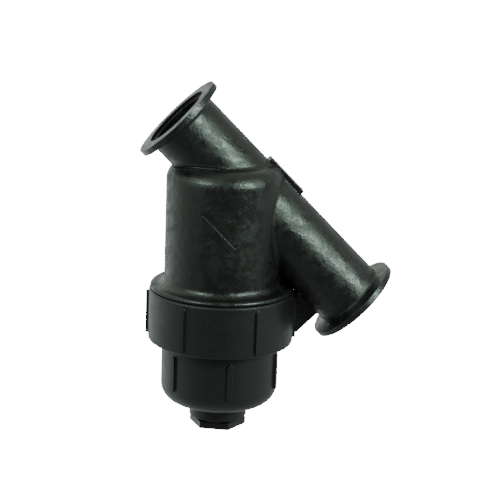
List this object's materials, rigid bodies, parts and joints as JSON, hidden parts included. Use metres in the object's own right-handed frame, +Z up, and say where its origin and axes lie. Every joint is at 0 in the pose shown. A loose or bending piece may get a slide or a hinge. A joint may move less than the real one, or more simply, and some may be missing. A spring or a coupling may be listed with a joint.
{
  "type": "y-pattern basket strainer",
  "caption": "Y-pattern pipeline strainer with a clamp flange at each end, a hanging bowl held by a ribbed union nut, a lift-out screen basket and a hex drain plug.",
  "frame": {"origin": "centre of the inlet flange's sealing face", "axes": "+Z up along the branch, against the way the bowl drops; the run falls at 45 degrees from the inlet (-X, up) to the outlet (+X, down) in the XZ plane; Y is across"},
  "size_m": [0.2176, 0.125, 0.2995],
  "materials": {
    "body_plastic": "satin moulded polypropylene with faint flow marks",
    "nut_plastic": "satin moulded polypropylene",
    "bowl_plastic": "satin moulded polypropylene",
    "plug_plastic": "satin moulded polypropylene",
    "ring_plastic": "fine matt",
    "seal_rubber": "dull elastomer",
    "mesh_steel": "bright woven stainless wire"
  },
  "bodies": {
    "housing": {"body": "body_plastic"},
    "bowl_unit": {"bowl": "bowl_plastic", "bowl_gasket": "seal_rubber"},
    "nut": {"ring_nut": "nut_plastic"},
    "screen": {"basket_gasket": "seal_rubber", "basket_top_ring": "ring_plastic", "basket_cage": "ring_plastic", "basket_mesh": "mesh_steel", "mesh_seam": "mesh_steel", "basket_bottom_ring": "ring_plastic"},
    "plug_seal": {"plug_gasket": "seal_rubber"},
    "plug": {"drain_plug": "plug_plastic"}
  },
  "joints": [
    {"name": "bowl_drop", "type": "slide", "parent": "housing", "child": "bowl_unit", "axis": [0, 0, -1], "range_m": [0, 0.18]},
    {"name": "nut_turn", "type": "hinge", "parent": "bowl_unit", "child": "nut", "pos_m": [0.04278, 0, -0.16978], "axis": [0, 0, -1], "range_deg": [0, 5400]},
    {"name": "basket_lift", "type": "slide", "parent": "bowl_unit", "child": "screen", "axis": [0, 0, 1], "range_m": [0, 0.072]},
    {"name": "plug_drop", "type": "slide", "parent": "bowl_unit", "child": "plug_seal", "axis": [0, 0, -1], "range_m": [0, 0.018]},
    {"name": "plug_turn", "type": "hinge", "parent": "plug_seal", "child": "plug", "pos_m": [0.04278, 0, -0.26278], "axis": [0, 0, -1], "range_deg": [0, 2160]}
  ],
  "couplings": [
    {"joint": "bowl_drop", "follows": "nut_turn", "m_per_rad": 0.0019099},
    {"joint": "basket_lift", "follows": "nut_turn", "m_per_rad": 0.00076394},
    {"joint": "plug_drop", "follows": "plug_turn", "m_per_rad": 0.00047746}
  ]
}
